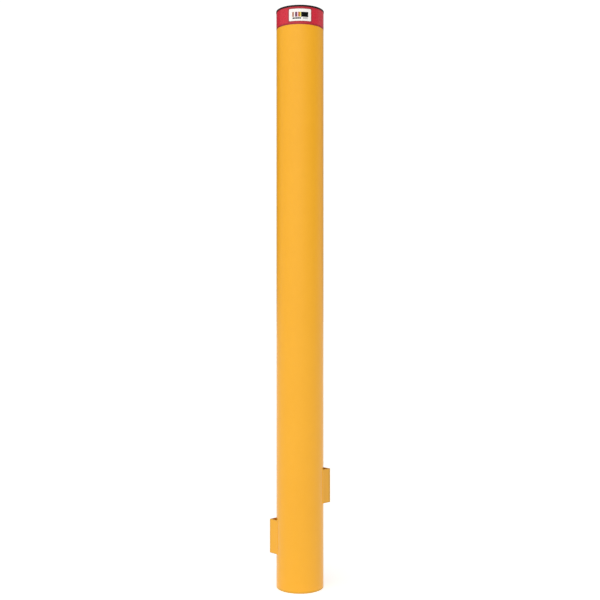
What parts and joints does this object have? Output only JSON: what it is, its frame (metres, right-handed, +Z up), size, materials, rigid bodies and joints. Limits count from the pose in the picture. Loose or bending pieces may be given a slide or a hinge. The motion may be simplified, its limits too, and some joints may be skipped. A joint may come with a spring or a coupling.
{
  "type": "steel safety bollard",
  "caption": "Yellow powder-coated round steel bollard for casting into the ground, with a black top cap, a red reflective band, a small label and angle-section anchor lugs near its base.",
  "frame": {"origin": "on the tube axis, at the tube's lower cut end", "axes": "+Z up along the tube; +X towards the upper anchor lug, -X towards the lower one; -Y is the front, where the label faces"},
  "size_m": [0.1792, 0.1414, 1.707],
  "materials": {
    "post_paint": "satin yellow powder coat",
    "cap_plastic": "fine moulded texture, black",
    "reflective_tape": "glossy prismatic red tape",
    "label_film": "printed white film",
    "lug_paint": "satin yellow powder coat on rolled steel",
    "weld_paint": "satin yellow powder coat over a weld bead"
  },
  "bodies": {
    "root": {"post_tube": "post_paint", "top_cap": "cap_plastic", "red_reflective_band": "reflective_tape", "identification_label": "label_film", "lower_anchor_lug": "lug_paint", "upper_anchor_lug": "lug_paint", "lower_lug_welds": "weld_paint", "upper_lug_welds": "weld_paint"}
  },
  "joints": []
}
